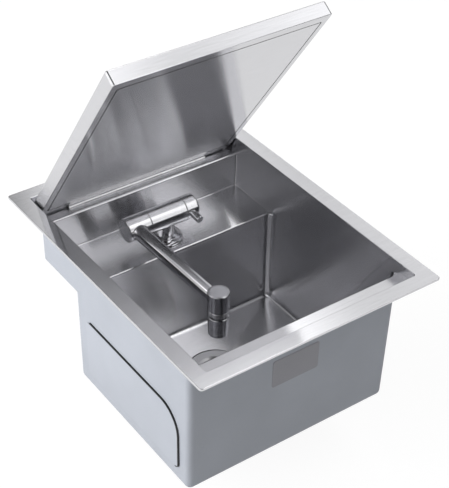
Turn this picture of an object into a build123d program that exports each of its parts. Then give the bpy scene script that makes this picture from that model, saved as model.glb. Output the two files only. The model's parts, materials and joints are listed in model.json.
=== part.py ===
from build123d import *
import math
import os

# Built-in stainless sink for a camper kitchen, with a hinged lid and a low folding mixer tap.
# Millimetres. X runs along the front edge, +Y to the back, +Z up. z = 0 is the worktop plane,
# on which the underside of the rim rests. Depths are counted down from the top of the rim.

# Rim and recess
RIM_W = 350.0
RIM_L = 445.0
RIM_H = 3.0
RIM_SIDE = 22.0
RIM_END = 21.0
RIM_CORNER = 4.0
RIM_EDGE = 0.9
RECESS_CORNER = 3.0
SHEET = 1.2
COLLAR_DEPTH = 24.7
SEAL_INSET = 2.5
SEAL_W = 9.0

# Ledges inside the recess
HINGE_LEDGE_W = 33.0
HINGE_LEDGE_DEPTH = COLLAR_DEPTH - SHEET
FRONT_LEDGE_W = 33.0
EDGE_BEND = 2.0
EDGE_BAR_W = 2.6
EDGE_BAR_H = 2.4
COLLAR_OVERRUN = 2.4

# Bowl
BOWL_L = 255.5
BOWL_DEPTH = 218.0
BOWL_TAPER = 1.1
BOWL_CORNER = 10.0
FLOOR_RADIUS = 6.5
FLOOR_MARGIN = 1.0
FLOOR_FALL = 6.0
FLOOR_STEP = 0.2
COAT = 1.4
COAT_TOP_DEPTH = 27.0
COAT_TAPER = 0.2
COAT_CORNER = 8.0
COAT_FLOOR_RADIUS = 8.0
COAT_GAP = 1.4

# Tray behind the bowl, which carries the tap
DECK_DEPTH = 76.5
TRAY_CORNER = 2.5
TRAY_FLOOR_RADIUS = 2.0
DECK_LIP = 5.5
DECK_EDGE_BAND = 4.0
TAP_HOLE_R = 17.5
TAP_COAT_HOLE_R = 28.0

# Pads and label on the outside of the bowl
PAD_T = 2.2
PAD_FRONT_Y = -147.5
PAD_REAR_Y = 62.0
PAD_TOP_DEPTH = 107.5
PAD_LOW_DEPTH = 195.0
PAD_FRONT_TOP_RADIUS = 36.0
PAD_REAR_TOP_RADIUS = 8.0
PAD_LOW_RADIUS = 6.0
LABEL_W = 70.0
LABEL_TOP_DEPTH = 69.0
LABEL_LOW_DEPTH = 111.0
LABEL_T = 0.5
LABEL_CORNER = 3.0

# Hinge along the rear of the lid
HINGE_SETBACK = 19.0
HINGE_RISE = 2.1
HINGE_HALF = 108.0
KNUCKLE_R = 1.8
KNUCKLES = 9
KNUCKLE_GAP = 0.4
HINGE_PIN_R = 1.0
HINGE_PLAY = 0.06
LEAF_T = 0.9
FIXED_LEAF_W = 12.0
MOVING_LEAF_W = 11.0

# Lid
LID_SIDE_GAP = 2.5
LID_REST_LAP = 5.5
LID_REST_GAP = 0.3
LID_TAIL = 2.2
LID_SHEET = 0.8
LID_CORNER = 3.0
LID_TOP_EDGE = 2.0
LID_LOW_EDGE = 1.2
LID_SIDE_HEM = 10.0
LID_FRONT_HEM = 14.5
LID_REAR_HEM = 13.0
LID_SEAM = 0.4
STIFFENER_W = 30.0
STIFFENER_PITCH = 90.0
STIFFENERS = 3
STIFFENER_END = 8.0
LID_OPEN_ANGLE = 55.07

# Tap: upright, body tube, spout and handle
TAP_SETBACK = 47.5
TAP_AXIS_RISE = 34.5
BODY_R = 16.5
BODY_BORE_R = 13.5
BODY_LEFT = -26.5
BODY_RIGHT = 28.5
TUBE_EDGE = 0.7
BASE_SEAL_T = 0.8
BASE_SEAL_R = 24.0
BASE_R = 25.0
BASE_RING_2_R = 21.5
BASE_RING_3_R = 18.0
BASE_RING_H = 2.0
BASE_CONE_H = 0.7
BASE_SHOULDER_H = 1.0
BASE_TOP_H = 8.0
BASE_BORE_R = 7.0
STEM_R = 14.5
SWIVEL_R = 10.0
SWIVEL_GAP = 0.5
RUN_FIT = 0.06
STEM_FOOT_GAP = 0.3
WATER_R = 5.0

HUB_LEFT = -60.3
HUB_GAP = 0.4
HUB_EDGE = 0.9
HUB_CAP_R = 14.8
HUB_CAP_T = 2.0
SPIGOT_R = 10.0
SPIGOT_LEFT = -56.0
SPIGOT_PLUG = 12.0
SPIGOT_END_GAP = 1.0
RING_SECTION = 1.0
RING_AT = (-31.5, -54.0)

NECK_X = -46.0
NECK_L = 24.0
NECK_BLEND = 2.5
ARM_R = 10.4
ARM_BORE_R = 8.9
SPOUT_REACH = 187.5
HEAD_X = -42.0
HEAD_R = 14.0
HEAD_TOP = 15.0
HEAD_H = 26.2
HEAD_BORE_R = 11.0
HEAD_CAP_R = 12.0
HEAD_CAP_T = 2.0
HEAD_EDGE = 1.3
BALL_R = 9.5
BALL_DROP = 2.3
BALL_PLAY = 0.1
BALL_NECK_R = 7.0
BALL_NECK = 7.9
BALL_RING_H = 6.3
BALL_SEAT_H = 6.0
AERATOR_TOP_R = 13.9
AERATOR_LOW_R = 12.4
AERATOR_BORE_R = 10.5
AERATOR_L = 28.8
AERATOR_TOP_T = 8.0
AERATOR_TOP_EDGE = 1.6
AERATOR_EDGE = 0.8
INSERT_T = 6.0
INSERT_RECESS = 0.8
INSERT_HOLE_R = 0.9
INSERT_RINGS = ((3.0, 6), (7.0, 12))

COLLAR_GAP = 0.4
COLLAR_RIGHT = 48.5
COLLAR_EDGE = 4.0
COLLAR_HOLLOW_R = 12.0
COLLAR_HOLLOW = 2.0
LEVER_R = 5.2
LEVER_X = 37.0
LEVER_DIP = 4.0
LEVER_TIP = 32.5
LEVER_ROOT = 9.0
LEVER_TIP_ROUND = 1.2
SPINDLE_R = 4.0
SPINDLE_LEFT = 19.5
SPINDLE_RIGHT = 43.0
SPINDLE_END_GAP = 1.0
CARTRIDGE_LEFT = 6.0
CARTRIDGE_RIGHT = 24.5
CARTRIDGE_NUT_T = 3.6
GRUB_R = 1.5
GRUB_L = 2.2
GRUB_X = 20.0
GRUB_SINK = 0.3

# Fixing of the tap under the deck
SHANK_R = 16.0
SHANK_BORE_R = 12.0
SHANK_L = 38.0
WASHER_R = 26.0
RUBBER_WASHER_T = 2.5
STEEL_WASHER_T = 2.0
SHANK_NUT_AF = 46.0
SHANK_NUT_T = 9.0
INLET_X = 6.0
INLET_PLUG_T = 6.0
INLET_END_R = 5.0
INLET_END_L = 12.0
INLET_R = 4.0
INLET_L = 24.0
INLET_BORE_R = 2.8
INLET_EDGE = 0.8

# Strainer waste in the floor of the bowl
DRAIN_Y = -6.0
DRAIN_SEAT_R = 41.6
FLOOR_HOLE_R = 27.5
FLANGE_R = 41.0
FLANGE_T = 1.2
FLANGE_CROWN = 0.7
FLANGE_CUP_R = 26.5
CUP_DEPTH = 15.0
TOP_GASKET_T = 1.0
LOW_GASKET_T = 2.0
GASKET_OUT_R = 40.0
GASKET_IN_R = 28.5
CUP_HOLE_R = 3.0
CUP_HOLE_RING_R = 14.5
CUP_HOLES = 8
WASTE_WALL = 2.5
WASTE_FLANGE_T = 3.0
WASTE_R = 35.0
WASTE_STRAIGHT = 23.0
WASTE_CONE = 12.0
TAIL_R = 20.0
TAIL_L = 28.0
WASTE_BOSS_R = 6.0
WASTE_BOSS_TOP = 20.0
WASTE_BOSS_LOW = 36.0
WASTE_RIB_T = 3.0
WASTE_RIBS = 3
SCREW_R = 3.0
SCREW_HEAD_R = 5.5
SCREW_HEAD_T = 2.2
SCREW_HEAD_ROUND = 0.7
SCREW_L = 20.0
BASKET_R = 24.5
BASKET_WALL = 1.0
BASKET_H = 9.0
BASKET_HOLE_R = 1.6
BASKET_RINGS = ((8.0, 9), (12.5, 14), (16.5, 18))
STOPPER_IN_R = 18.5
STOPPER_OUT_R = 24.0
STOPPER_T = 3.0
KNOB_R = 7.5
KNOB_STEM_R = 3.0
KNOB_H = 16.0
KNOB_HEAD_T = 5.0
KNOB_ROUND = 1.6

# How far a cutting tool runs past the face it cuts
THROUGH = 5.0

# Places worked out from the sizes above
open_x = RIM_W / 2 - RIM_SIDE
open_y = RIM_L / 2 - RIM_END
bowl_front = -open_y + FRONT_LEDGE_W
bowl_rear = bowl_front + BOWL_L
tray_back = open_y - HINGE_LEDGE_W
split_y = bowl_rear - BOWL_CORNER
rim_under = RIM_H - SHEET
hinge_y = open_y - HINGE_SETBACK
hinge_z = RIM_H - HINGE_LEDGE_DEPTH + HINGE_RISE
lid_under = hinge_z + HINGE_RISE
front_ledge_depth = RIM_H - lid_under + LID_REST_GAP
seat_depth = BOWL_DEPTH + FLOOR_FALL + FLOOR_STEP
deck_z = RIM_H - DECK_DEPTH
seat_z = RIM_H - seat_depth
tap_y = tray_back - TAP_SETBACK
axis_z = deck_z + TAP_AXIS_RISE
swivel_h = TAP_AXIS_RISE - BODY_R - SWIVEL_GAP
head_y = tap_y - SPOUT_REACH
head_low = axis_z + HEAD_TOP - HEAD_H
ball_z = head_low - BALL_DROP
arm_l = math.hypot(HEAD_X - NECK_X, SPOUT_REACH)
arm_splay = math.degrees(math.atan2(HEAD_X - NECK_X, SPOUT_REACH))


def level(depth):
    return RIM_H - depth


def inset(depth, taper=BOWL_TAPER):
    """How far a wall with this taper has come in at this depth."""
    return math.tan(math.radians(taper)) * (depth - COLLAR_DEPTH)


def block(x0, x1, y0, y1, z0, z1):
    return Pos((x0 + x1) / 2, (y0 + y1) / 2, (z0 + z1) / 2) * Box(x1 - x0, y1 - y0, z1 - z0)


def upright(r, z0, z1, x=0.0, y=0.0):
    return Pos(x, y, (z0 + z1) / 2) * Cylinder(r, z1 - z0)


def along_x(r, x0, x1, y, z):
    return Pos((x0 + x1) / 2, y, z) * Rot(0, 90, 0) * Cylinder(r, x1 - x0)


def ring(r_in, r_out, z0, z1, x=0.0, y=0.0):
    return upright(r_out, z0, z1, x, y) - upright(r_in, z0, z1, x, y)


def turned(outline, x=0.0, y=0.0, z=0.0):
    """Solid of revolution from (radius, height) points, stood at x, y, z."""
    face = make_face(Polyline(*[(r, 0, h) for r, h in outline], close=True))
    return Pos(x, y, z) * revolve(face, Axis.Z)


def outline_at(x_half, y0, y1, z, corner, x_mid=0.0):
    """Level rounded rectangle, centred on x_mid."""
    return Pos(x_mid, (y0 + y1) / 2, z) * RectangleRounded(2 * x_half, y1 - y0, corner)


def prism(x_half, y0, y1, z0, z1, corner):
    return extrude(outline_at(x_half, y0, y1, z0, corner), z1 - z0)


def tapered(x_top, x_low, y0_top, y0_low, y1_top, y1_low, z_top, z_low, corner, x_mid_low=0.0):
    low = outline_at(x_low, y0_low, y1_low, z_low, corner, x_mid_low)
    top = outline_at(x_top, y0_top, y1_top, z_top, corner)
    return loft([low.face(), top.face()], ruled=True)


def only(shape):
    """The one solid of a result, without its compound."""
    solids = shape.solids()
    return max(solids, key=lambda s: s.volume)


def bowl_form(grow):
    """The space inside the bowl, grown by a wall thickness, with the floor's fall to the drain."""
    low = BOWL_DEPTH + grow
    x_top, x_low = open_x + grow, open_x - inset(low) + grow
    y0_top, y0_low = bowl_front - grow, bowl_front + inset(low) - grow
    y1_top, y1_low = bowl_rear + grow, bowl_rear - inset(low) + grow
    form = tapered(x_top, x_low, y0_top, y0_low, y1_top, y1_low,
                   level(COLLAR_DEPTH), level(low), BOWL_CORNER + grow)
    form = fillet(form.edges().group_by(Axis.Z)[0], FLOOR_RADIUS + grow)
    return form + floor_fall(grow)


def floor_fall(grow):
    """The shallow pyramid and the round seat that carry the floor down to the drain."""
    low = BOWL_DEPTH + grow
    edge = inset(low) + FLOOR_RADIUS + FLOOR_MARGIN
    y0, y1 = bowl_front + edge, bowl_rear - edge
    base = Pos(0, (y0 + y1) / 2, level(low)) * Rectangle(2 * (open_x - edge), y1 - y0)
    fall = loft([base.face(), Vertex(0, DRAIN_Y, level(low + FLOOR_FALL))], ruled=True)
    return fall + upright(DRAIN_SEAT_R + grow, level(seat_depth + grow), level(low - FLOOR_STEP), 0, DRAIN_Y)


def coat_form(grow):
    """Outside of the bowl's sprayed coat. Its left and rear sides are steeper than the sheet's."""
    out = SHEET + COAT + grow
    low = BOWL_DEPTH + out
    lean, fall_in = inset(low, COAT_TAPER), inset(low)
    form = tapered(open_x + out, open_x + out - (lean + fall_in) / 2,
                   bowl_front - out, bowl_front - out + fall_in, bowl_rear + out, bowl_rear + out - lean,
                   level(COLLAR_DEPTH), level(low), COAT_CORNER + grow, (lean - fall_in) / 2)
    form = fillet(form.edges().group_by(Axis.Z)[0], COAT_FLOOR_RADIUS + grow)
    return form + floor_fall(out)


def tray_form(grow, round_floor, left_taper=BOWL_TAPER):
    """The space in the tray, grown by a wall thickness. It starts inside the bowl."""
    low = DECK_DEPTH + grow
    lean, fall_in = inset(low, left_taper), inset(low)
    form = tapered(open_x + grow, open_x + grow - (lean + fall_in) / 2, 0, 0,
                   tray_back + grow, tray_back + grow,
                   level(COLLAR_DEPTH), level(low), TRAY_CORNER + grow, (lean - fall_in) / 2)
    if round_floor:
        form = fillet(form.edges().group_by(Axis.Z)[0], TRAY_FLOOR_RADIUS + grow)
    return form


def rolled_mouth(depth, drop, mouth_depth):
    """Level sheet with a mouth like the bowl's, its edge rolled down into the bowl's wall."""
    half = open_x - inset(mouth_depth)
    y0, y1 = bowl_front + inset(mouth_depth), bowl_rear - inset(mouth_depth)
    z_top, z_low, z_lip = level(depth), level(depth + SHEET), level(depth + drop)
    sheet = block(-RIM_W, RIM_W, -RIM_L, RIM_L, z_low, z_top)
    lip = prism(half + SHEET, y0 - SHEET, y1 + SHEET, z_lip, z_top, BOWL_CORNER + SHEET)
    mouth = prism(half, y0, y1, z_lip, z_top, BOWL_CORNER)
    plate = sheet + lip - mouth
    rim_edges = [e for e in plate.edges().group_by(Axis.Z)[-1]
                 if abs(e.center().X) <= half and y0 <= e.center().Y <= y1]
    return fillet(rim_edges, EDGE_BEND)


def rim_frame():
    out_x, out_y = RIM_W / 2, RIM_L / 2
    frame = prism(out_x, -out_y, out_y, 0, RIM_H, RIM_CORNER)
    frame -= prism(open_x, -open_y, open_y, 0, RIM_H, RECESS_CORNER)
    frame = fillet(frame.edges().group_by(Axis.Z)[-1], RIM_EDGE)
    under = prism(out_x - SHEET, -out_y + SHEET, out_y - SHEET, 0, rim_under, RIM_CORNER - SHEET)
    return frame - under


def rim_seal():
    x, y = RIM_W / 2 - SEAL_INSET, RIM_L / 2 - SEAL_INSET
    seal = prism(x, -y, y, 0, rim_under, RIM_CORNER)
    return seal - prism(x - SEAL_W, -y + SEAL_W, y - SEAL_W, 0, rim_under, RIM_CORNER)


def recess_collar():
    low = level(COLLAR_DEPTH)
    collar = prism(open_x + SHEET, -open_y - SHEET, open_y + SHEET, low, rim_under, RECESS_CORNER + SHEET)
    collar -= prism(open_x, -open_y, open_y, low, rim_under, RECESS_CORNER)
    under = level(front_ledge_depth + SHEET)
    return collar - block(-RIM_W, RIM_W, -RIM_L, bowl_front - COLLAR_OVERRUN, low, under)


def recess_space(z0, z1):
    return prism(open_x, -open_y, open_y, z0, z1, RECESS_CORNER)


def front_ledge():
    plate = rolled_mouth(front_ledge_depth, COLLAR_DEPTH - front_ledge_depth, COLLAR_DEPTH)
    keep = recess_space(level(COLLAR_DEPTH), level(front_ledge_depth))
    keep &= block(-RIM_W, RIM_W, -RIM_L, bowl_front + BOWL_CORNER, -RIM_L, RIM_H)
    return plate & keep


def hinge_ledge():
    top, low = level(HINGE_LEDGE_DEPTH), level(COLLAR_DEPTH)
    plate = block(-open_x, open_x, tray_back, open_y, low, top)
    plate += block(-open_x, open_x, tray_back, tray_back + EDGE_BAR_W, top - EDGE_BAR_H, top)
    edge = plate.edges().filter_by(Axis.X).group_by(Axis.Z)[-1].sort_by(Axis.Y)[0]
    plate = fillet(edge, EDGE_BEND)
    return plate & recess_space(top - EDGE_BAR_H, top)


def tap_tray():
    outer = tray_form(SHEET, True)
    under = level(DECK_DEPTH + DECK_LIP)
    band = bowl_rear + DECK_EDGE_BAND
    rear = (outer - tray_form(0, True)) & block(-RIM_W, RIM_W, band, RIM_L, -RIM_L, RIM_H)
    slab = block(-RIM_W, RIM_W, split_y, band, under, RIM_H)
    clear = tray_form(0, False) + prism(open_x - inset(DECK_DEPTH), 0, tray_back, under, deck_z, TRAY_CORNER)
    walls = (outer - clear) & slab
    edge = rolled_mouth(DECK_DEPTH, DECK_LIP, DECK_DEPTH) & slab
    tray = rear + walls + (edge & outer) + (edge & bowl_form(SHEET))
    tray -= upright(TAP_HOLE_R, deck_z - THROUGH, deck_z + THROUGH, 0, tap_y)
    bar_low = level(HINGE_LEDGE_DEPTH + EDGE_BAR_H)
    return tray - block(-RIM_W, RIM_W, tray_back, RIM_L, bar_low, RIM_H)


def bowl_shell():
    shell = bowl_form(SHEET) - bowl_form(0)
    shell -= block(-RIM_W, RIM_W, split_y, RIM_L, level(DECK_DEPTH + DECK_LIP), RIM_H)
    return shell - upright(FLOOR_HOLE_R, seat_z - THROUGH, seat_z + THROUGH, 0, DRAIN_Y)


def tray_zone(grow, taper):
    """The tray's grown form behind the line where the bowl's walls end."""
    return tray_form(grow, True, taper) & block(-RIM_W, RIM_W, split_y, RIM_L, -RIM_L, RIM_H)


def bowl_coat():
    coat = coat_form(0) - bowl_form(SHEET) - tray_zone(SHEET + COAT, COAT_TAPER)
    coat -= block(-RIM_W, RIM_W, -RIM_L, RIM_L, level(COAT_TOP_DEPTH), RIM_H)
    return coat - upright(GASKET_OUT_R + COAT_GAP, seat_z - THROUGH, seat_z, 0, DRAIN_Y)


def tray_coat():
    coat = tray_zone(SHEET + COAT, COAT_TAPER) - tray_zone(SHEET, BOWL_TAPER) - bowl_form(SHEET)
    coat -= block(-RIM_W, RIM_W, -RIM_L, RIM_L, level(COAT_TOP_DEPTH), RIM_H)
    return coat - upright(TAP_COAT_HOLE_R, deck_z - THROUGH, deck_z, 0, tap_y)


def on_wall(thickness, keep):
    """A sheet of this thickness on the outside of the coat, kept where it meets the given solid."""
    return (coat_form(thickness) - coat_form(0)) & keep


def sound_pad(side):
    face = Rectangle(PAD_REAR_Y - PAD_FRONT_Y, PAD_LOW_DEPTH - PAD_TOP_DEPTH)
    face = fillet(face.vertices().group_by(Axis.Y)[-1].sort_by(Axis.X)[0], PAD_FRONT_TOP_RADIUS)
    face = fillet(face.vertices().group_by(Axis.Y)[-1].sort_by(Axis.X)[-1], PAD_REAR_TOP_RADIUS)
    face = fillet(face.vertices().group_by(Axis.Y)[0], PAD_LOW_RADIUS)
    mid_y, mid_z = (PAD_REAR_Y + PAD_FRONT_Y) / 2, level((PAD_LOW_DEPTH + PAD_TOP_DEPTH) / 2)
    place = Plane(origin=(0, mid_y, mid_z), x_dir=(0, 1, 0), z_dir=(1, 0, 0))
    return on_wall(PAD_T, extrude(place * face, side * RIM_W / 2))


def label_plate():
    face = RectangleRounded(LABEL_W, LABEL_LOW_DEPTH - LABEL_TOP_DEPTH, LABEL_CORNER)
    mid_z = level((LABEL_LOW_DEPTH + LABEL_TOP_DEPTH) / 2)
    place = Plane(origin=(0, 0, mid_z), x_dir=(1, 0, 0), z_dir=(0, -1, 0))
    return on_wall(LABEL_T, extrude(place * face, RIM_L / 2))


def hinge_leaf(z_leaf, width, own, bore_r):
    """One leaf with every second knuckle, laid level at z_leaf under or over the axis."""
    pitch = 2 * HINGE_HALF / KNUCKLES
    near = hinge_y - KNUCKLE_R - KNUCKLE_GAP
    leaf = block(-HINGE_HALF, HINGE_HALF, hinge_y - width, near, z_leaf, z_leaf + LEAF_T)
    for i in range(own, KNUCKLES, 2):
        x0 = -HINGE_HALF + i * pitch + KNUCKLE_GAP / 2
        x1 = x0 + pitch - KNUCKLE_GAP
        leaf += block(x0, x1, near, hinge_y, z_leaf, z_leaf + LEAF_T)
        leaf += along_x(KNUCKLE_R, x0, x1, hinge_y, hinge_z)
    return leaf - along_x(bore_r, -HINGE_HALF, HINGE_HALF, hinge_y, hinge_z)


def opened(shape):
    """A piece of the closed lid, swung up to its open place."""
    return shape.rotate(Axis((0, hinge_y, hinge_z), (-1, 0, 0)), LID_OPEN_ANGLE)


def lid_form(shrink):
    x = open_x - LID_SIDE_GAP - shrink
    y0, y1 = bowl_front - LID_REST_LAP + shrink, hinge_y + LID_TAIL - shrink
    form = block(-x, x, y0, y1, lid_under + shrink, RIM_H - shrink)
    form = fillet(form.edges().filter_by(Axis.Z), LID_CORNER - shrink)
    form = fillet(form.edges().group_by(Axis.Z)[-1], LID_TOP_EDGE - shrink)
    return fillet(form.edges().group_by(Axis.Z)[0], LID_LOW_EDGE - shrink)


def lid_window(seam):
    """The window in the lid's underside that the inner panel fills, less a seam all round."""
    x = open_x - LID_SIDE_GAP - LID_SIDE_HEM - seam
    y0 = bowl_front - LID_REST_LAP + LID_FRONT_HEM + seam
    y1 = hinge_y + LID_TAIL - LID_REAR_HEM - seam
    return prism(x, y0, y1, lid_under, lid_under + LID_SHEET, LID_CORNER)


def lid_stiffeners():
    """Box channels between the lid's top sheet and its inner panel."""
    z0, z1 = lid_under + LID_SHEET, RIM_H - LID_SHEET
    y0 = bowl_front - LID_REST_LAP + LID_FRONT_HEM + STIFFENER_END
    y1 = hinge_y + LID_TAIL - LID_REAR_HEM - STIFFENER_END
    channels = []
    for i in range(STIFFENERS):
        x = (i - (STIFFENERS - 1) / 2) * STIFFENER_PITCH
        half = STIFFENER_W / 2
        tube = block(x - half, x + half, y0, y1, z0, z1)
        half -= LID_SHEET
        channels.append(tube - block(x - half, x + half, y0, y1, z0 + LID_SHEET, z1 - LID_SHEET))
    return Compound(children=channels)


def tap_base():
    ring_1 = BASE_SEAL_T + BASE_RING_H
    ring_2 = ring_1 + BASE_CONE_H + BASE_RING_H
    outline = [(BASE_BORE_R, BASE_SEAL_T), (BASE_R, BASE_SEAL_T), (BASE_R, ring_1),
               (BASE_RING_2_R, ring_1 + BASE_CONE_H), (BASE_RING_2_R, ring_2),
               (BASE_RING_3_R, ring_2 + BASE_CONE_H), (BASE_RING_3_R, BASE_TOP_H - BASE_SHOULDER_H),
               (STEM_R, BASE_TOP_H), (SWIVEL_R, BASE_TOP_H), (SWIVEL_R, swivel_h), (BASE_BORE_R, swivel_h)]
    return turned(outline, 0, tap_y, deck_z)


def tap_stem():
    stem = ring(SWIVEL_R + RUN_FIT, STEM_R, deck_z + BASE_TOP_H + STEM_FOOT_GAP, axis_z, 0, tap_y)
    return only(stem - along_x(BODY_R, -BASE_R, BASE_R, tap_y, axis_z))


def body_tube():
    tube = along_x(BODY_R, BODY_LEFT, BODY_RIGHT, tap_y, axis_z)
    tube = fillet(tube.edges(), TUBE_EDGE)
    tube -= along_x(BODY_BORE_R, BODY_LEFT, BODY_RIGHT, tap_y, axis_z)
    tube -= upright(WATER_R, deck_z, axis_z, 0, tap_y)
    return tube - grub(2 * BODY_R)


def grub(r_top):
    """Grub screw under the body tube, out to this radius, or a longer one that cuts its hole."""
    return upright(GRUB_R, axis_z - r_top, axis_z - BODY_R + GRUB_L, GRUB_X, tap_y)


def hub_spigot():
    spigot = along_x(BODY_BORE_R, BODY_LEFT, BODY_LEFT + SPIGOT_PLUG, tap_y, axis_z)
    spigot += along_x(SPIGOT_R, SPIGOT_LEFT, BODY_LEFT, tap_y, axis_z)
    spigot -= along_x(WATER_R, SPIGOT_LEFT, BODY_LEFT + SPIGOT_PLUG, tap_y, axis_z)
    for x in RING_AT:
        groove = along_x(SPIGOT_R, x - RING_SECTION, x + RING_SECTION, tap_y, axis_z)
        spigot -= groove - along_x(SPIGOT_R - 2 * RING_SECTION, x - RING_SECTION, x + RING_SECTION, tap_y, axis_z)
    return spigot - arm_bar(WATER_R, 0, BODY_R)


def hub_rings():
    rings = [Pos(x, tap_y, axis_z) * Rot(0, 90, 0) * Torus(SPIGOT_R - RING_SECTION, RING_SECTION) for x in RING_AT]
    return Compound(children=rings)


def arm_bar(r, start, end):
    """Round bar along the arm's line, between two distances from the body tube's axis."""
    bar = Pos(0, 0, (start + end) / 2) * Cylinder(r, end - start)
    return Pos(NECK_X, tap_y, axis_z) * Rot(0, 0, arm_splay) * Rot(90, 0, 0) * bar


def spout_hub():
    """Hub on the spigot, with the short neck that carries the arm."""
    right = BODY_LEFT - HUB_GAP
    hub = along_x(BODY_R, HUB_LEFT, right, tap_y, axis_z)
    hub = fillet(hub.edges().group_by(Axis.X)[0], HUB_EDGE)
    hub = fillet(hub.edges().group_by(Axis.X)[-1], TUBE_EDGE)
    neck = arm_bar(ARM_R, 0, NECK_L)
    hub = blended(hub, neck, NECK_BLEND)
    hub -= along_x(SPIGOT_R + RUN_FIT, SPIGOT_LEFT - SPIGOT_END_GAP, right, tap_y, axis_z)
    hub -= along_x(HUB_CAP_R, HUB_LEFT, HUB_LEFT + HUB_CAP_T, tap_y, axis_z)
    return hub - arm_bar(ARM_BORE_R, 0, NECK_L + THROUGH)


def blended(one, other, radius):
    """Two solids as one, with a fillet where they meet."""
    both = one + other
    return fillet(new_edges(one, other, combined=both), radius)


def hub_cap():
    cap = along_x(HUB_CAP_R, HUB_LEFT, HUB_LEFT + HUB_CAP_T, tap_y, axis_z)
    return fillet(cap.edges().group_by(Axis.X)[0], TUBE_EDGE)


def spout_arm():
    arm = arm_bar(ARM_R, NECK_L, arm_l) - arm_bar(ARM_BORE_R, NECK_L, arm_l)
    return only(arm - upright(HEAD_R, head_low, axis_z + HEAD_TOP, HEAD_X, head_y))


def spout_head():
    top = axis_z + HEAD_TOP
    head = upright(HEAD_R, head_low, top, HEAD_X, head_y)
    head = fillet(head.edges().group_by(Axis.Z)[-1], HEAD_EDGE)
    head = fillet(head.edges().group_by(Axis.Z)[0], TUBE_EDGE)
    head -= upright(HEAD_BORE_R, head_low, top - HEAD_CAP_T, HEAD_X, head_y)
    head -= upright(HEAD_CAP_R, top - HEAD_CAP_T, top, HEAD_X, head_y)
    return head - arm_bar(ARM_BORE_R, arm_l - 2 * HEAD_R, arm_l)


def head_cap():
    top = axis_z + HEAD_TOP
    cap = upright(HEAD_CAP_R, top - HEAD_CAP_T, top, HEAD_X, head_y)
    return fillet(cap.edges().group_by(Axis.Z)[-1], TUBE_EDGE)


def ball_space():
    return Pos(HEAD_X, head_y, ball_z) * Sphere(BALL_R + BALL_PLAY)


def ball_ring():
    low = head_low - BALL_RING_H
    collar = upright(HEAD_R, low, head_low, HEAD_X, head_y)
    collar = fillet(collar.edges(), TUBE_EDGE)
    return collar - upright(HEAD_BORE_R, ball_z, head_low, HEAD_X, head_y) - ball_space()


def ball_seat():
    seat = upright(HEAD_BORE_R, ball_z, ball_z + BALL_SEAT_H, HEAD_X, head_y)
    return only(seat - ball_space() - upright(BALL_NECK_R, ball_z, ball_z + BALL_SEAT_H, HEAD_X, head_y))


def aerator_ball():
    ball = Pos(HEAD_X, head_y, ball_z) * Sphere(BALL_R)
    ball += upright(BALL_NECK_R, ball_z - BALL_NECK, ball_z, HEAD_X, head_y)
    ball &= block(-RIM_W, RIM_W, -RIM_L, RIM_L, ball_z - BALL_NECK, RIM_L)
    return ball - upright(WATER_R, ball_z - BALL_NECK, ball_z + BALL_R, HEAD_X, head_y)


def aerator_shell():
    top = ball_z - BALL_NECK
    low = top - AERATOR_L
    shell = turned([(0, 0), (AERATOR_LOW_R, 0), (AERATOR_TOP_R, AERATOR_L), (0, AERATOR_L)], HEAD_X, head_y, low)
    shell = fillet(shell.edges().group_by(Axis.Z)[-1], AERATOR_TOP_EDGE)
    shell = fillet(shell.edges().group_by(Axis.Z)[0], AERATOR_EDGE)
    shell -= upright(AERATOR_BORE_R, low, top - AERATOR_TOP_T, HEAD_X, head_y)
    return shell - upright(WATER_R, low, top, HEAD_X, head_y)


def aerator_insert():
    low = ball_z - BALL_NECK - AERATOR_L + INSERT_RECESS
    insert = upright(AERATOR_BORE_R, low, low + INSERT_T, HEAD_X, head_y)
    holes = [upright(INSERT_HOLE_R, low, low + INSERT_T, HEAD_X + r * math.cos(a), head_y + r * math.sin(a))
             for r, n in INSERT_RINGS for a in [2 * math.pi * i / n for i in range(n)]]
    return insert - holes


def handle_collar():
    left = BODY_RIGHT + COLLAR_GAP
    collar = along_x(BODY_R, left, COLLAR_RIGHT, tap_y, axis_z)
    collar = fillet(collar.edges().group_by(Axis.X)[-1], COLLAR_EDGE)
    collar = fillet(collar.edges().group_by(Axis.X)[0], TUBE_EDGE)
    collar -= along_x(COLLAR_HOLLOW_R, left, left + COLLAR_HOLLOW, tap_y, axis_z)
    collar -= along_x(SPINDLE_R, left, SPINDLE_RIGHT, tap_y, axis_z)
    collar -= lever_bar()
    return collar - upright(GRUB_R, axis_z - BODY_R - THROUGH, axis_z, LEVER_X, tap_y)


def collar_screw():
    """Grub screw under the collar that clamps the spindle."""
    return upright(GRUB_R, axis_z - BODY_R + GRUB_R, axis_z - SPINDLE_R, LEVER_X, tap_y)


def lever_bar():
    bar = Pos(0, 0, (LEVER_ROOT + LEVER_TIP) / 2) * Cylinder(LEVER_R, LEVER_TIP - LEVER_ROOT)
    return Pos(LEVER_X, tap_y, axis_z) * Rot(90 + LEVER_DIP, 0, 0) * bar


def lever_pin():
    pin = lever_bar()
    return fillet(pin.edges().sort_by(Axis.Y)[0], LEVER_TIP_ROUND)


def cartridge():
    body = along_x(BODY_BORE_R, CARTRIDGE_LEFT, CARTRIDGE_RIGHT, tap_y, axis_z)
    return body - along_x(SPINDLE_R + RUN_FIT, SPINDLE_LEFT - SPINDLE_END_GAP, CARTRIDGE_RIGHT, tap_y, axis_z)


def cartridge_nut():
    right = CARTRIDGE_RIGHT + CARTRIDGE_NUT_T
    nut = along_x(BODY_BORE_R, CARTRIDGE_RIGHT, right, tap_y, axis_z)
    return nut - along_x(SPINDLE_R + RUN_FIT, CARTRIDGE_RIGHT, right, tap_y, axis_z)


def tap_shank():
    return ring(SHANK_BORE_R, SHANK_R, deck_z - SHANK_L, deck_z + BASE_SEAL_T, 0, tap_y)


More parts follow.
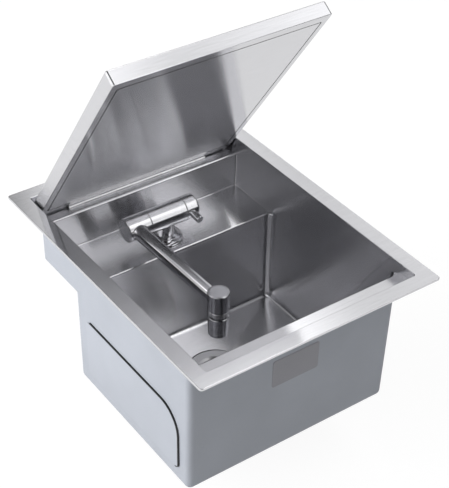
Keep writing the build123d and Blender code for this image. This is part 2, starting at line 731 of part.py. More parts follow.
def shank_nut():
    top = deck_z - SHEET - RUBBER_WASHER_T - STEEL_WASHER_T
    nut = extrude(RegularPolygon(SHANK_NUT_AF / 2, 6, major_radius=False), -SHANK_NUT_T)
    return Pos(0, tap_y, top) * nut - upright(SHANK_R, top - SHANK_NUT_T, top, 0, tap_y)


def inlet_plug():
    low = deck_z - SHANK_L
    plug = upright(SHANK_BORE_R, low, low + INLET_PLUG_T, 0, tap_y)
    return plug - [upright(INLET_END_R, low, low + INLET_PLUG_T, x, tap_y) for x in (-INLET_X, INLET_X)]


def inlet_tail(side):
    """Pipe tail, with the thicker end that is screwed into the plug."""
    plug_low = deck_z - SHANK_L
    tail = upright(INLET_R, plug_low - INLET_L, plug_low, side * INLET_X, tap_y)
    tail = chamfer(tail.edges().group_by(Axis.Z)[0], INLET_EDGE)
    tail += upright(INLET_END_R, plug_low, plug_low + INLET_END_L, side * INLET_X, tap_y)
    return tail - upright(INLET_BORE_R, plug_low - INLET_L, plug_low + INLET_END_L, side * INLET_X, tap_y)


def drain_flange():
    cup_low = -CUP_DEPTH - FLANGE_T
    outline = [(0, -CUP_DEPTH), (FLANGE_CUP_R - FLANGE_T, -CUP_DEPTH), (FLANGE_CUP_R - FLANGE_T, 0),
               (GASKET_IN_R, TOP_GASKET_T + FLANGE_T),
               (FLANGE_R - FLANGE_T, TOP_GASKET_T + FLANGE_T + FLANGE_CROWN),
               (FLANGE_R, TOP_GASKET_T + FLANGE_T), (FLANGE_R, TOP_GASKET_T), (GASKET_IN_R, TOP_GASKET_T),
               (FLANGE_CUP_R, -FLANGE_T), (FLANGE_CUP_R, cup_low), (0, cup_low)]
    flange = turned(outline, 0, DRAIN_Y, seat_z)
    flange -= upright(SCREW_R, seat_z + cup_low, seat_z - CUP_DEPTH, 0, DRAIN_Y)
    return flange - drain_holes(CUP_HOLE_R, CUP_HOLE_RING_R, CUP_HOLES, seat_z + cup_low, FLANGE_T)


def drain_holes(r, ring_r, count, z, height):
    """A ring of round holes about the drain's axis."""
    return [upright(r, z, z + height, ring_r * math.cos(2 * math.pi * i / count),
                    DRAIN_Y + ring_r * math.sin(2 * math.pi * i / count)) for i in range(count)]


def waste_outline(wall):
    """Radius and height points of the waste body, as it goes down and in by its wall."""
    top = -SHEET - LOW_GASKET_T
    step, cone = top - WASTE_STRAIGHT, top - WASTE_STRAIGHT - WASTE_CONE
    return [(0, top), (WASTE_R - wall, top), (WASTE_R - wall, step), (TAIL_R - wall, cone), (0, cone)]


def waste_body():
    top = seat_z - SHEET - LOW_GASKET_T
    cone = top - WASTE_STRAIGHT - WASTE_CONE
    body = turned(waste_outline(0), 0, DRAIN_Y, seat_z)
    body += upright(GASKET_OUT_R, top - WASTE_FLANGE_T, top, 0, DRAIN_Y)
    body += upright(TAIL_R, cone - TAIL_L, cone, 0, DRAIN_Y)
    space = turned(waste_outline(WASTE_WALL), 0, DRAIN_Y, seat_z)
    body -= space + upright(TAIL_R - WASTE_WALL, cone - TAIL_L, cone, 0, DRAIN_Y)
    boss = upright(WASTE_BOSS_R, seat_z - WASTE_BOSS_LOW, seat_z - WASTE_BOSS_TOP, 0, DRAIN_Y)
    for i in range(WASTE_RIBS):
        rib = block(0, WASTE_R, -WASTE_RIB_T / 2, WASTE_RIB_T / 2,
                    seat_z - WASTE_BOSS_LOW, seat_z - WASTE_BOSS_TOP - WASTE_RIB_T)
        boss += Pos(0, DRAIN_Y, 0) * Rot(0, 0, 360 * i / WASTE_RIBS) * rib
    boss &= turned(waste_outline(WASTE_WALL / 2), 0, DRAIN_Y, seat_z)
    return body + boss - drain_screw()


def drain_screw():
    head_low_z = seat_z - CUP_DEPTH
    screw = upright(SCREW_HEAD_R, head_low_z, head_low_z + SCREW_HEAD_T, 0, DRAIN_Y)
    screw = fillet(screw.edges().group_by(Axis.Z)[-1], SCREW_HEAD_ROUND)
    return screw + upright(SCREW_R, head_low_z - SCREW_L, head_low_z, 0, DRAIN_Y)


def strainer_basket():
    low = seat_z - CUP_DEPTH + STOPPER_T
    basket = upright(BASKET_R, low, low + BASKET_H, 0, DRAIN_Y)
    basket -= upright(BASKET_R - BASKET_WALL, low + BASKET_WALL, low + BASKET_H, 0, DRAIN_Y)
    for ring_r, count in BASKET_RINGS:
        basket -= drain_holes(BASKET_HOLE_R, ring_r, count, low, BASKET_WALL)
    return basket


def strainer_knob():
    low = seat_z - CUP_DEPTH + STOPPER_T + BASKET_WALL
    knob = upright(KNOB_STEM_R, low, low + KNOB_H, 0, DRAIN_Y)
    head = upright(KNOB_R, low + KNOB_H - KNOB_HEAD_T, low + KNOB_H, 0, DRAIN_Y)
    return knob + fillet(head.edges(), KNOB_ROUND)


def strainer_stopper():
    low = seat_z - CUP_DEPTH
    return ring(STOPPER_IN_R, STOPPER_OUT_R, low, low + STOPPER_T, 0, DRAIN_Y)


def sink_nodes():
    below_sheet = deck_z - SHEET
    below_rubber = below_sheet - RUBBER_WASHER_T
    floor_under = seat_z - SHEET
    ledge_top = level(HINGE_LEDGE_DEPTH)
    return {
        "rim_frame": rim_frame(), "rim_seal": rim_seal(), "recess_collar": recess_collar(),
        "front_ledge": front_ledge(), "hinge_ledge": hinge_ledge(), "tap_tray": tap_tray(),
        "bowl_shell": bowl_shell(), "bowl_coat": bowl_coat(), "tray_coat": tray_coat(),
        "sound_pad_left": sound_pad(-1), "sound_pad_right": sound_pad(1), "label_plate": label_plate(),
        "hinge_fixed_leaf": hinge_leaf(ledge_top, FIXED_LEAF_W, 0, HINGE_PIN_R),
        "hinge_pin": along_x(HINGE_PIN_R, -HINGE_HALF, HINGE_HALF, hinge_y, hinge_z),
        "tap_base": tap_base(), "tap_shank": tap_shank(), "shank_nut": shank_nut(),
        "tap_base_seal": ring(TAP_HOLE_R, BASE_SEAL_R, deck_z, deck_z + BASE_SEAL_T, 0, tap_y),
        "shank_rubber_washer": ring(SHANK_R, WASHER_R, below_rubber, below_sheet, 0, tap_y),
        "shank_steel_washer": ring(SHANK_R, WASHER_R, below_rubber - STEEL_WASHER_T, below_rubber, 0, tap_y),
        "inlet_plug": inlet_plug(), "inlet_tail_cold": inlet_tail(1), "inlet_tail_hot": inlet_tail(-1),
        "drain_flange": drain_flange(), "drain_screw": drain_screw(), "waste_body": waste_body(),
        "drain_gasket_top": ring(GASKET_IN_R, GASKET_OUT_R, seat_z, seat_z + TOP_GASKET_T, 0, DRAIN_Y),
        "drain_gasket_low": ring(GASKET_IN_R, GASKET_OUT_R, floor_under - LOW_GASKET_T, floor_under, 0, DRAIN_Y),
    }


def lid_nodes():
    shell = lid_form(0) - lid_form(LID_SHEET) - lid_window(0)
    moving = hinge_leaf(lid_under - LEAF_T, MOVING_LEAF_W, 1, HINGE_PIN_R + HINGE_PLAY)
    return {
        "lid_shell": opened(shell), "lid_inner_panel": opened(lid_window(LID_SEAM)),
        "lid_stiffeners": opened(lid_stiffeners()), "hinge_moving_leaf": opened(moving),
    }


def tap_nodes():
    return {
        "tap_stem": tap_stem(), "body_tube": body_tube(), "body_grub_screw": grub(BODY_R - GRUB_SINK),
        "hub_spigot": hub_spigot(), "hub_rings": hub_rings(), "cartridge": cartridge(),
        "cartridge_nut": cartridge_nut(),
        "spout_hub": spout_hub(), "hub_cap": hub_cap(), "spout_arm": spout_arm(), "spout_head": spout_head(),
        "head_cap": head_cap(), "ball_ring": ball_ring(), "ball_seat": ball_seat(),
        "aerator_ball": aerator_ball(), "aerator_shell": aerator_shell(), "aerator_insert": aerator_insert(),
        "handle_collar": handle_collar(), "collar_screw": collar_screw(), "lever_pin": lever_pin(),
        "cartridge_spindle": along_x(SPINDLE_R, SPINDLE_LEFT, SPINDLE_RIGHT, tap_y, axis_z),
    }


def strainer_nodes():
    return {"strainer_basket": strainer_basket(), "strainer_knob": strainer_knob(),
            "strainer_stopper": strainer_stopper()}


os.makedirs("parts", exist_ok=True)
nodes = {**sink_nodes(), **lid_nodes(), **tap_nodes(), **strainer_nodes()}
for name, shape in nodes.items():
    export_step(shape, f"parts/{name}.step")
print(len(nodes), "nodes")
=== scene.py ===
import json
import math

import bmesh
import bpy
from mathutils import Matrix, Vector


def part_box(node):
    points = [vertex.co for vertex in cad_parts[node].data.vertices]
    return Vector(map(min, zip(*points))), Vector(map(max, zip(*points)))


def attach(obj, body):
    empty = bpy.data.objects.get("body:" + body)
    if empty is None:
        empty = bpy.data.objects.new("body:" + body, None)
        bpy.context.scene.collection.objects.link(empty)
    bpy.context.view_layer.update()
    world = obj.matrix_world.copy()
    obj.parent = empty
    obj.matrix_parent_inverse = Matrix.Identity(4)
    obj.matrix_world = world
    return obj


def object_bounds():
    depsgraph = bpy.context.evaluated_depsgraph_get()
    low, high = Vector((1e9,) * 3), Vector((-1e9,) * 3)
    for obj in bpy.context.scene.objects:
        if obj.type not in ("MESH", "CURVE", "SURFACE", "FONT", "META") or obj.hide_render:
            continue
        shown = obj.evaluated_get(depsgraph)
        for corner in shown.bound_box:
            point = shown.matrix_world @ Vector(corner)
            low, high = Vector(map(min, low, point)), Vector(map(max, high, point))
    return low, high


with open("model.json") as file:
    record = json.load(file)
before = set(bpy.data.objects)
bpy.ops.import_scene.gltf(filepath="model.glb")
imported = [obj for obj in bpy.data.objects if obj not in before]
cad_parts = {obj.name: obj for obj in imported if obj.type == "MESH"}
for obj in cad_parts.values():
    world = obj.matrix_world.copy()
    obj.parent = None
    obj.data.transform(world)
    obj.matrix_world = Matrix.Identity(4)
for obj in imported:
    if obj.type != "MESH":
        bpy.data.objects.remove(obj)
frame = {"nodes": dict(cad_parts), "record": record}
cad_box = [list(corner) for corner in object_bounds()]

MM = 0.001

# Camera, solved from the straight edges of the rim, the bowl and the lid: place in mm, angles in degrees
CAMERA_AT = Vector((-775.509, -1099.032, 994.574)) * MM
CAMERA_YAW = -35.6745
CAMERA_DOWN = 36.7667
CAMERA_ROLL = 0.8856
FOCAL_PX = 1337.065
IMAGE_H_PX = 488
SENSOR = 36.0
FAR_M = 20


def linear(code):
    """sRGB hex colour as linear RGBA."""
    parts = [int(code[i:i + 2], 16) / 255 for i in (1, 3, 5)]
    return tuple(c / 12.92 if c <= 0.04045 else ((c + 0.055) / 1.055) ** 2.4 for c in parts) + (1.0,)


def add(tree, kind, inputs=None, **settings):
    """Adds a node, sets its properties, and fills its inputs with values or other nodes' sockets."""
    node = tree.nodes.new(kind)
    for key, value in settings.items():
        setattr(node, key, value)
    for key, value in (inputs or {}).items():
        if isinstance(value, bpy.types.NodeSocket):
            tree.links.new(value, node.inputs[key])
        else:
            node.inputs[key].default_value = value
    return node


def blank(name):
    """A material with an empty node tree."""
    material = bpy.data.materials.new(name)
    material.use_nodes = True
    material.node_tree.nodes.clear()
    return material, material.node_tree


def surface(tree, **inputs):
    """A surface with the named inputs, joined to the material's output."""
    named = {key.replace("_", " "): value for key, value in inputs.items()}
    shader = add(tree, "ShaderNodeBsdfPrincipled", named)
    add(tree, "ShaderNodeOutputMaterial", {"Surface": shader.outputs[0]})


def spread_of(tree, value, low, high):
    """A noise value's usual range, 0.3 to 0.7, as low to high."""
    ends = {"Value": value, "From Min": 0.3, "From Max": 0.7, "To Min": low, "To Max": high}
    return add(tree, "ShaderNodeMapRange", ends).outputs["Result"]


def toned(tree, colour, tone):
    """A colour made darker or lighter by a pattern."""
    inputs = {0: linear(colour)[:3], "Scale": tone}
    return add(tree, "ShaderNodeVectorMath", inputs, operation="SCALE").outputs[0]


def noise(tree, place, scale, detail=3.0):
    """Noise with its own grain size along each axis, given in millimetres."""
    grain = add(tree, "ShaderNodeMapping", {"Vector": place, "Scale": tuple(1 / (g * MM) for g in scale)})
    inputs = {"Vector": grain.outputs[0], "Scale": 1.0, "Detail": detail}
    return add(tree, "ShaderNodeTexNoise", inputs).outputs["Fac"]


def camera():
    data = bpy.data.cameras.new("camera")
    data.sensor_width = SENSOR
    data.lens = FOCAL_PX * SENSOR / IMAGE_H_PX
    data.clip_end = FAR_M
    obj = bpy.data.objects.new("camera", data)
    place = Matrix.Translation(CAMERA_AT)
    for angle, axis in ((CAMERA_YAW, "Z"), (90 - CAMERA_DOWN, "X"), (CAMERA_ROLL, "Z")):
        place = place @ Matrix.Rotation(math.radians(angle), 4, axis)
    obj.matrix_world = place
    bpy.context.scene.collection.objects.link(obj)
    bpy.context.scene.camera = obj


camera()
bpy.context.scene.view_settings.view_transform = "Standard"

# Soft panels of the studio. Each has four edges across the sky, from -1 at the left to 1 at the right, and
# four up it, from 0 at the horizon to 1 overhead: it fades in between the first two and out between the last
# two. The level comes last. Edges past -1 or 1 leave that side open.
BACK_PANELS = (
    ((-3, -2, -1.0, 0.0), (-3, -2, 0.1, 0.5), 2.9),  # low wash from the left
    ((-3, -2, -0.4, 0.15), (0.5, 0.64, 0.64, 0.85), 2.8),  # broad card on the left
    ((0.34, 0.41, 0.44, 0.53), (0.5, 0.64, 0.64, 0.85), 3.0),  # strip that draws the bright band down the lid
    ((0.3, 0.38, 0.5, 0.75), (0.5, 0.64, 0.64, 0.85), 1.1),  # that strip's soft surround
    ((0.48, 0.6, 0.6, 1.1), (0.1, 0.5, 0.5, 0.64), 1.9),  # low card on the right
    ((0.2, 0.4, 0.4, 2.0), (0.64, 0.85, 2, 3), 1.3),  # overhead card on the right
)
FRONT_PANELS = (
    ((-3, -2, -0.4, 0.1), (-3, -2, 0.1, 0.4), 1.2),  # low wash from the left
    ((-3, -2, 0.45, 0.48), (-3, -2, 0.1, 0.4), 0.5),  # faint fill under the horizon
    ((0.32, 0.39, 0.45, 0.48), (-3, -2, 0.1, 0.4), 2.0),  # low strip that the bowl and the rim mirror
    ((0.43, 0.46, 0.46, 0.56), (0.1, 0.4, 0.4, 0.7), 3.5),  # strip that lights the tray
    ((-3, -2, -1.0, -0.3), (0.4, 0.7, 2, 3), 3.5),  # high card on the left
    ((0.2, 0.35, 0.35, 0.48), (0.4, 0.7, 2, 3), 2.5),  # high strip behind the camera
    ((0.35, 0.6, 0.6, 0.85), (0.4, 0.7, 2, 3), 1.8),  # high card on the right
)
# Half width of the soft change from the front half of the sky to the back half
FRONT_TO_BACK = 0.1


def fade(tree, value, edges):
    """1 between the two inner edges, falling to 0 at the two outer ones."""
    low, full_low, full_high, high = edges
    rise = add(tree, "ShaderNodeMapRange", {"Value": value, "From Min": low, "From Max": full_low})
    fall = add(tree, "ShaderNodeMapRange", {"Value": value, "From Min": high, "From Max": full_high})
    both = {0: rise.outputs[0], 1: fall.outputs[0]}
    return add(tree, "ShaderNodeMath", both, operation="MULTIPLY").outputs[0]


def panel_light(tree, across, up, panels):
    """Brightness of a group of panels, added up."""
    total = 0.0
    for across_edges, up_edges, level in panels:
        both = {0: fade(tree, across, across_edges), 1: fade(tree, up, up_edges)}
        shape = add(tree, "ShaderNodeMath", both, operation="MULTIPLY").outputs[0]
        summed = {0: shape, 1: level, 2: total}
        total = add(tree, "ShaderNodeMath", summed, operation="MULTIPLY_ADD").outputs[0]
    return total


def sky():
    world = bpy.data.worlds.new("studio")
    bpy.context.scene.world = world
    world.use_nodes = True
    tree = world.node_tree
    tree.nodes.clear()
    way = add(tree, "ShaderNodeTexCoord").outputs["Generated"]
    direction = add(tree, "ShaderNodeSeparateXYZ", {0: way}).outputs
    front = panel_light(tree, direction["X"], direction["Z"], FRONT_PANELS)
    back = panel_light(tree, direction["X"], direction["Z"], BACK_PANELS)
    ends = {"Value": direction["Y"], "From Min": -FRONT_TO_BACK, "From Max": FRONT_TO_BACK}
    rear = add(tree, "ShaderNodeMapRange", ends).outputs[0]
    level = add(tree, "ShaderNodeMix", {0: rear, 2: front, 3: back}).outputs[0]
    light = add(tree, "ShaderNodeBackground", {"Color": linear("#FFFFFF"), "Strength": level})
    white = add(tree, "ShaderNodeBackground", {"Color": linear("#FFFFFF"), "Strength": 1.0})
    seen = add(tree, "ShaderNodeLightPath").outputs["Is Camera Ray"]
    mix = add(tree, "ShaderNodeMixShader", {0: seen, 1: light.outputs[0], 2: white.outputs[0]})
    add(tree, "ShaderNodeOutputWorld", {"Surface": mix.outputs[0]})


# The floor's half width in metres, and how near to white it looks
FLOOR_HALF = 6.0
FLOOR_GLOW = 0.90


def floor():
    """Pale floor under the waste's tail: near white to the camera and in the metal, with a faint shadow."""
    mesh = bpy.data.meshes.new("floor")
    half, z = FLOOR_HALF, cad_box[0][2] - MM
    corners = [(x * half, y * half, z) for x, y in ((-1, -1), (1, -1), (1, 1), (-1, 1))]
    mesh.from_pydata(corners, [], [(0, 1, 2, 3)])
    obj = bpy.data.objects.new("floor", mesh)
    bpy.context.scene.collection.objects.link(obj)
    material, tree = blank("pale_studio_floor")
    paint = add(tree, "ShaderNodeBsdfDiffuse", {"Color": linear("#CCCCCC")})
    thin = add(tree, "ShaderNodeBsdfDiffuse", {"Color": linear("#6E6E6E")})
    glow = add(tree, "ShaderNodeEmission", {"Color": linear("#FFFFFF"), "Strength": FLOOR_GLOW})
    lit = add(tree, "ShaderNodeAddShader", {0: thin.outputs[0], 1: glow.outputs[0]})
    path = add(tree, "ShaderNodeLightPath").outputs
    seen = path["Is Camera Ray"]
    for ray in ("Is Glossy Ray", "Is Transmission Ray"):
        seen = add(tree, "ShaderNodeMath", {0: seen, 1: path[ray]}, operation="MAXIMUM").outputs[0]
    mix = add(tree, "ShaderNodeMixShader", {0: seen, 1: paint.outputs[0], 2: lit.outputs[0]})
    add(tree, "ShaderNodeOutputMaterial", {"Surface": mix.outputs[0]})
    mesh.materials.append(material)


# Place and width in metres, power in watts
SIDE_AT = Vector((-1.6, 0.45, 0.5))
SIDE_SIZE = 1.2
SIDE_POWER = 24.0


def side_light():
    """Large soft panel on the left that models the outside walls and stays out of the metal's reflections."""
    data = bpy.data.lights.new("side_panel", "AREA")
    data.shape = "SQUARE"
    data.size = SIDE_SIZE
    data.energy = SIDE_POWER
    obj = bpy.data.objects.new("side_panel", data)
    obj.matrix_world = Matrix.Translation(SIDE_AT) @ Matrix.Rotation(math.radians(-90), 4, "Y")
    obj.visible_glossy = False
    bpy.context.scene.collection.objects.link(obj)


sky()
floor()
side_light()

# Grain in millimetres: scratches as long streaks, faint broad bands of the belt, and rings from the lathe.
# Real ones are finer, and all are drawn as coarse as they need to show.
SCRATCH = (30, 0.7)
BELT_BAND = (200, 4)
RING = 0.3
RING_LENGTH = 15
# A sheet facing sideways by more than this is scratched along its depth, and all others along their width
SIDE_FACING = 0.7


def middle(node):
    """The centre that a turned part's rings run round."""
    low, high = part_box(node)
    return tuple((a + b) / 2 for a, b in zip(low, high))


def to_world(tree, vector):
    return add(tree, "ShaderNodeVectorTransform", {"Vector": vector}, vector_type="VECTOR",
               convert_from="OBJECT", convert_to="WORLD").outputs[0]


def ground_sheet(name, colour, rough, stretch=1.0):
    """Sheet ground with a belt along its length: fine streaks, and a highlight drawn out square to them."""
    material, tree = blank(name)
    coords = add(tree, "ShaderNodeTexCoord")
    place, normal = coords.outputs["Object"], coords.outputs["Normal"]
    side = add(tree, "ShaderNodeSeparateXYZ", {0: normal}).outputs["X"]
    lean = add(tree, "ShaderNodeMath", {0: side}, operation="ABSOLUTE").outputs[0]
    turned = add(tree, "ShaderNodeMath", {0: lean, 1: SIDE_FACING}, operation="GREATER_THAN").outputs[0]
    ways = {0: turned, 4: (1, 0, 0), 5: (0, 1, 0)}
    scratch = add(tree, "ShaderNodeMix", ways, data_type="VECTOR").outputs[1]
    spread = add(tree, "ShaderNodeVectorMath", {0: scratch, 1: normal}, operation="CROSS_PRODUCT").outputs[0]
    streaks = []
    for long, wide in (SCRATCH, BELT_BAND):
        along, across = noise(tree, place, (long, wide, wide)), noise(tree, place, (wide, long, wide))
        streaks.append(add(tree, "ShaderNodeMix", {0: turned, 2: along, 3: across}).outputs[0])
    scratches, bands = streaks
    tones = {0: spread_of(tree, scratches, 0.94, 1.04), 1: spread_of(tree, bands, 0.99, 1.01)}
    tone = add(tree, "ShaderNodeMath", tones, operation="MULTIPLY").outputs[0]
    gloss = spread_of(tree, scratches, rough - 0.01, rough + 0.01)
    surface(tree, Base_Color=toned(tree, colour, tone), Metallic=1.0, Roughness=gloss, Anisotropic=stretch,
            Tangent=to_world(tree, spread))
    return material


def turned_metal(name, colour, rough, stretch, axis, centre):
    """Turned metal: fine rings round its axis, and a highlight drawn out square to them."""
    material, tree = blank(name)
    coords = add(tree, "ShaderNodeTexCoord")
    place, normal = coords.outputs["Object"], coords.outputs["Normal"]
    arm = add(tree, "ShaderNodeVectorMath", {0: place, 1: centre}, operation="SUBTRACT").outputs[0]
    ring = add(tree, "ShaderNodeVectorMath", {0: axis, 1: arm}, operation="CROSS_PRODUCT").outputs[0]
    spread = add(tree, "ShaderNodeVectorMath", {0: ring, 1: normal}, operation="CROSS_PRODUCT").outputs[0]
    grain = tuple(RING if part else RING_LENGTH for part in axis)
    streak = noise(tree, arm, grain)
    rings = add(tree, "ShaderNodeVectorMath", {0: ring}, operation="LENGTH").outputs["Value"]
    faced = add(tree, "ShaderNodeTexNoise", {"W": rings, "Scale": 1 / (RING * MM), "Detail": 2.0},
                noise_dimensions="1D").outputs["Fac"]
    both = add(tree, "ShaderNodeMix", {0: 0.5, 2: streak, 3: faced}).outputs[0]
    shade = toned(tree, colour, spread_of(tree, both, 0.94, 1.05))
    gloss = spread_of(tree, both, rough - 0.02, rough + 0.02)
    surface(tree, Base_Color=shade, Metallic=1.0, Roughness=gloss, Anisotropic=stretch,
            Tangent=to_world(tree, spread))
    return material


def rolled_metal(name, colour, rough):
    """Bright rolled or pressed metal: even, with faint clouding."""
    material, tree = blank(name)
    place = add(tree, "ShaderNodeTexCoord").outputs["Object"]
    cloud = noise(tree, place, (6, 6, 6))
    shade = toned(tree, colour, spread_of(tree, cloud, 0.97, 1.02))
    gloss = spread_of(tree, cloud, rough - 0.03, rough + 0.03)
    surface(tree, Base_Color=shade, Metallic=1.0, Roughness=gloss)
    return material


def grained(name, colour, rough, grain, height, contrast=0.04):
    """Sprayed, moulded or foamed surface: a pebbled grain in millimetres, and slow changes of tone."""
    material, tree = blank(name)
    place = add(tree, "ShaderNodeTexCoord").outputs["Object"]
    pebble = noise(tree, place, (grain,) * 3, 4.0)
    cloud = noise(tree, place, (80, 80, 80), 2.0)
    slow = spread_of(tree, cloud, 1 - contrast, 1 + contrast)
    quick = spread_of(tree, pebble, 1 - contrast / 2, 1 + contrast / 2)
    tone = add(tree, "ShaderNodeMath", {0: slow, 1: quick}, operation="MULTIPLY").outputs[0]
    bump = add(tree, "ShaderNodeBump", {"Height": pebble, "Strength": 0.4, "Distance": height * MM})
    surface(tree, Base_Color=toned(tree, colour, tone), Roughness=rough, Normal=bump.outputs[0])
    return material


body_centre = middle("body_tube")
head_centre = middle("head_cap")
base_centre = middle("tap_base")

# Satin stainless sheet: mirrors its surroundings as soft bands, sharp along the scratches
sheet = ground_sheet("belt_ground_stainless", "#D2D2D5", 0.19)
# Brushed nickel on the tap: one finish in four copies, the arm painted lighter and the head painted darker
# for how the light falls on them, with rings from the lathe and a tighter highlight
tap_x = turned_metal("satin_nickel_body", "#DADADD", 0.20, 0.3, (1, 0, 0), body_centre)
tap_y = turned_metal("satin_nickel_arm_painted_lighter", "#E4E4E7", 0.12, 0.3, (0, 1, 0), body_centre)
tap_head = turned_metal("satin_nickel_head_painted_darker", "#C0C0C4", 0.15, 0.3, (0, 0, 1), head_centre)
tap_base = turned_metal("satin_nickel_base", "#E0E0E3", 0.16, 0.3, (0, 0, 1), base_centre)
# Pressed and rolled stainless on the hinge and the ball: bright and even, with a little clouding
pressed = rolled_metal("bright_pressed_stainless", "#D8D8DA", 0.20)
# Satin pressings in the waste: the same steel, duller, and painted greyer for the shade the drain sits in
satin = rolled_metal("satin_pressed_stainless_painted_shade", "#B8B8BB", 0.34)
# Raw turned brass inside the tap and under the deck: warm yellow with tool rings
brass = turned_metal("raw_turned_brass", "#C9A55F", 0.27, 0.5, (0, 0, 1), base_centre)
# Sound-deadening compound, dull and pebbled like orange peel
coat = grained("sprayed_damping_coat", "#A2A6AE", 0.6, 1.2, 0.12)
pad = grained("coated_damping_pad", "#A4A8B0", 0.6, 1.2, 0.12)
# Blank film plate on the front wall: smoother than the coat, and a little darker and less blue
label = grained("blank_film_plate", "#8A8A90", 0.4, 0.8, 0.05)
# Painted shadow: near-black beads in the lid's seam and along the pads' top and front edges, painting the
# thin dark shade lines of those gaps
painted_gap_shadow = grained("painted_seam_shadow", "#141416", 0.5, 0.8, 0.04)
# Closed-cell foam under the rim: matt charcoal with small pores
foam = grained("closed_cell_foam", "#2A2A2C", 0.9, 0.7, 0.3)
# Moulded rubber seals: near black, with a dull sheen
rubber = grained("black_moulded_rubber", "#1C1C1E", 0.65, 0.5, 0.03)
# Moulded acetal in the tap: dark grey with a slight gloss
acetal = grained("grey_moulded_acetal", "#4A4C50", 0.45, 0.6, 0.02)
# Moulded polypropylene waste: milky white with a soft gloss
polypropylene = grained("pale_moulded_polypropylene", "#DADAD8", 0.4, 1.0, 0.03)

FINISH = {
    sheet: ["rim_frame", "recess_collar", "front_ledge", "hinge_ledge", "tap_tray", "bowl_shell", "lid_shell",
            "lid_inner_panel", "lid_stiffeners"],
    satin: ["drain_flange", "drain_screw", "strainer_basket", "strainer_knob"],
    pressed: ["hinge_fixed_leaf", "hinge_moving_leaf", "hinge_pin", "ball_ring", "aerator_ball",
              "shank_steel_washer", "body_grub_screw", "collar_screw"],
    tap_x: ["body_tube", "spout_hub", "hub_cap", "handle_collar"],
    tap_y: ["spout_arm", "lever_pin"],
    tap_head: ["spout_head", "head_cap", "aerator_shell"],
    tap_base: ["tap_base", "tap_stem"],
    brass: ["tap_shank", "shank_nut", "hub_spigot", "cartridge_nut", "cartridge_spindle", "inlet_plug",
            "inlet_tail_cold", "inlet_tail_hot"],
    coat: ["bowl_coat", "tray_coat"],
    pad: ["sound_pad_left", "sound_pad_right"],
    label: ["label_plate"],
    foam: ["rim_seal"],
    rubber: ["tap_base_seal", "shank_rubber_washer", "drain_gasket_top", "drain_gasket_low", "hub_rings",
             "strainer_stopper"],
    acetal: ["cartridge", "ball_seat", "aerator_insert"],
    polypropylene: ["waste_body"],
}


# Pieces that the solids leave out: the painted shadow lines in the lid's seam and along the pads' edges, and
# the shank's thread
def rounded_outline(x0, x1, y0, y1, radii, steps=10):
    """Points and outward directions round a rectangle, with each corner's radius, clockwise from low left."""
    corners = ((x0, y0, 1, 1, 180), (x0, y1, 1, -1, 90), (x1, y1, -1, -1, 0), (x1, y0, -1, 1, -90))
    points = []
    for (x, y, dx, dy, last), r in zip(corners, radii):
        for i in range(steps + 1):
            angle = math.radians(last + 90 - 90 * i / steps)
            way = Vector((math.cos(angle), math.sin(angle)))
            points.append((Vector((x + dx * r, y + dy * r)) + r * way, way))
    return points


def new_piece(name, verts, faces, material, body, slot):
    mesh = bpy.data.meshes.new(name)
    mesh.from_pydata([Vector(v) * MM for v in verts], [], faces)
    shape = bmesh.new()
    shape.from_mesh(mesh)
    bmesh.ops.recalc_face_normals(shape, faces=shape.faces)
    shape.to_mesh(mesh)
    shape.free()
    mesh.materials.append(material)
    obj = bpy.data.objects.new(name, mesh)
    bpy.context.scene.collection.objects.link(obj)
    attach(obj, body)


def bead(outline, section, place, closed=True):
    """Bead: a section of (outward, height) pairs carried along an outline, each point set by place."""
    verts = [place(point + out * way, height) for point, way in outline for out, height in section]
    n, m = len(outline), len(section)
    faces = [(i * m + j, i * m + (j + 1) % m, (i + 1) % n * m + (j + 1) % m, (i + 1) % n * m + j)
             for i in range(n if closed else n - 1) for j in range(m)]
    if not closed:
        faces += [tuple(range(m)), tuple(range((n - 1) * m, n * m))]
    return verts, faces


lid_joint = next(joint for joint in frame["record"]["behaviour"]["joints"] if joint["name"] == "lid_hinge")
lid_pin = Vector(lid_joint["pos_m"]) / MM
lid_turn = Matrix.Rotation(math.radians(-lid_joint["range_deg"][0]), 4, Vector(lid_joint["axis"]))
# Height of the closed lid's underside, where the line is let in, and the line's section
LID_UNDER = -16.3
SEAM_SECTION = ((-0.75, -0.3), (-0.6, 0.1), (0.6, 0.1), (0.75, -0.3))


def under_lid(point, height):
    """A point on the closed lid's underside, swung up with the lid."""
    return lid_pin + lid_turn @ (Vector((point.x, point.y, LID_UNDER - height)) - lid_pin)


# The painted shadow line runs round the edge of the inner panel, in the seam's shade
SEAM_X, SEAM_FRONT, SEAM_REAR = 140.7, -159.7, 171.9
seam = rounded_outline(-SEAM_X, SEAM_X, SEAM_FRONT, SEAM_REAR, (2, 2, 2, 2))
new_piece("lid_seam_painted_shadow", *bead(seam, SEAM_SECTION, under_lid), painted_gap_shadow, "lid", "black_rubber")

# Section of the painted shadow along the pad's edge: outward from the pad's edge in mm, and height as a share
# of the pad's thickness
PAD_EDGE = ((-0.3, 0.0), (-0.3, 1.0), (1.0, 1.0), (1.3, 0.6), (1.3, 0.0))
# Corner radii as in the pad's own solid: low front, top front, top rear, low rear
PAD_RADII = (6, 36, 8, 6)
# The painted shadow runs up the front and along the top, to the first point of the rear top corner
PAD_LINE_POINTS = 23


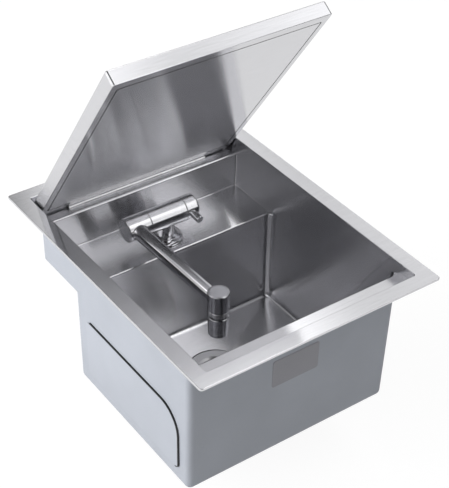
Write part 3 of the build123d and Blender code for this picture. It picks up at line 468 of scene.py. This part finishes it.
def pad_line(side):
    low, high = (Vector(corner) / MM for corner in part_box("sound_pad_" + side))
    outer, inner = (low.x, high.x) if side == "left" else (high.x, low.x)
    line = rounded_outline(low.y, high.y, low.z, high.z, PAD_RADII)[:PAD_LINE_POINTS]

    def on_wall(point, height):
        return (inner + (outer - inner) * height, point.x, point.y)

    new_piece("pad_painted_shadow_" + side, *bead(line, PAD_EDGE, on_wall, False), painted_gap_shadow, "sink", "black_rubber")


for side in ("left", "right"):
    pad_line(side)


# The ridge's foot is sunk this far into the bar, and reaches this share of the pitch to either side
THREAD_SUNK = 0.2
THREAD_HALF = 0.45
THREAD_PITCH = 1.5
THREAD_DEPTH = 0.5


def thread(centre, radius, low, high, pitch, depth, steps=48):
    """Ridge of a screw thread round an upright bar, running out over a quarter turn at both ends."""
    verts, faces = [], []
    count = int((high - low) / pitch * steps)
    foot, half, run_out = radius - THREAD_SUNK, THREAD_HALF * pitch, steps / 4
    for i in range(count + 1):
        angle, z = 2 * math.pi * i / steps, low + pitch * i / steps
        crest = radius + depth * min(1.0, i / run_out, (count - i) / run_out)
        for r, dz in ((foot, -half), (crest, 0), (foot, half)):
            verts.append((centre[0] + r * math.cos(angle), centre[1] + r * math.sin(angle), z + dz))
        if i:
            a, b = 3 * i - 3, 3 * i
            faces += [(a, a + 1, b + 1, b), (a + 1, a + 2, b + 2, b + 1), (a + 2, a, b, b + 2)]
    faces += [(0, 1, 2), (3 * count, 3 * count + 2, 3 * count + 1)]
    return verts, faces


shank_low, shank_high = (Vector(corner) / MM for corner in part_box("tap_shank"))
nut_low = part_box("shank_nut")[0][2] / MM
shank_at = ((shank_low.x + shank_high.x) / 2, (shank_low.y + shank_high.y) / 2)
shank_radius = (shank_high.x - shank_low.x) / 2
coils = thread(shank_at, shank_radius, shank_low.z + 1, nut_low - 0.8, THREAD_PITCH, THREAD_DEPTH)
new_piece("shank_thread", *coils, brass, "sink", "tap_brass")

finish_of = {node: material for material, nodes in FINISH.items() for node in nodes}
for name, obj in frame["nodes"].items():
    if not obj.material_slots:
        obj.data.materials.append(None)
    for slot in obj.material_slots:
        slot.material = finish_of[name]
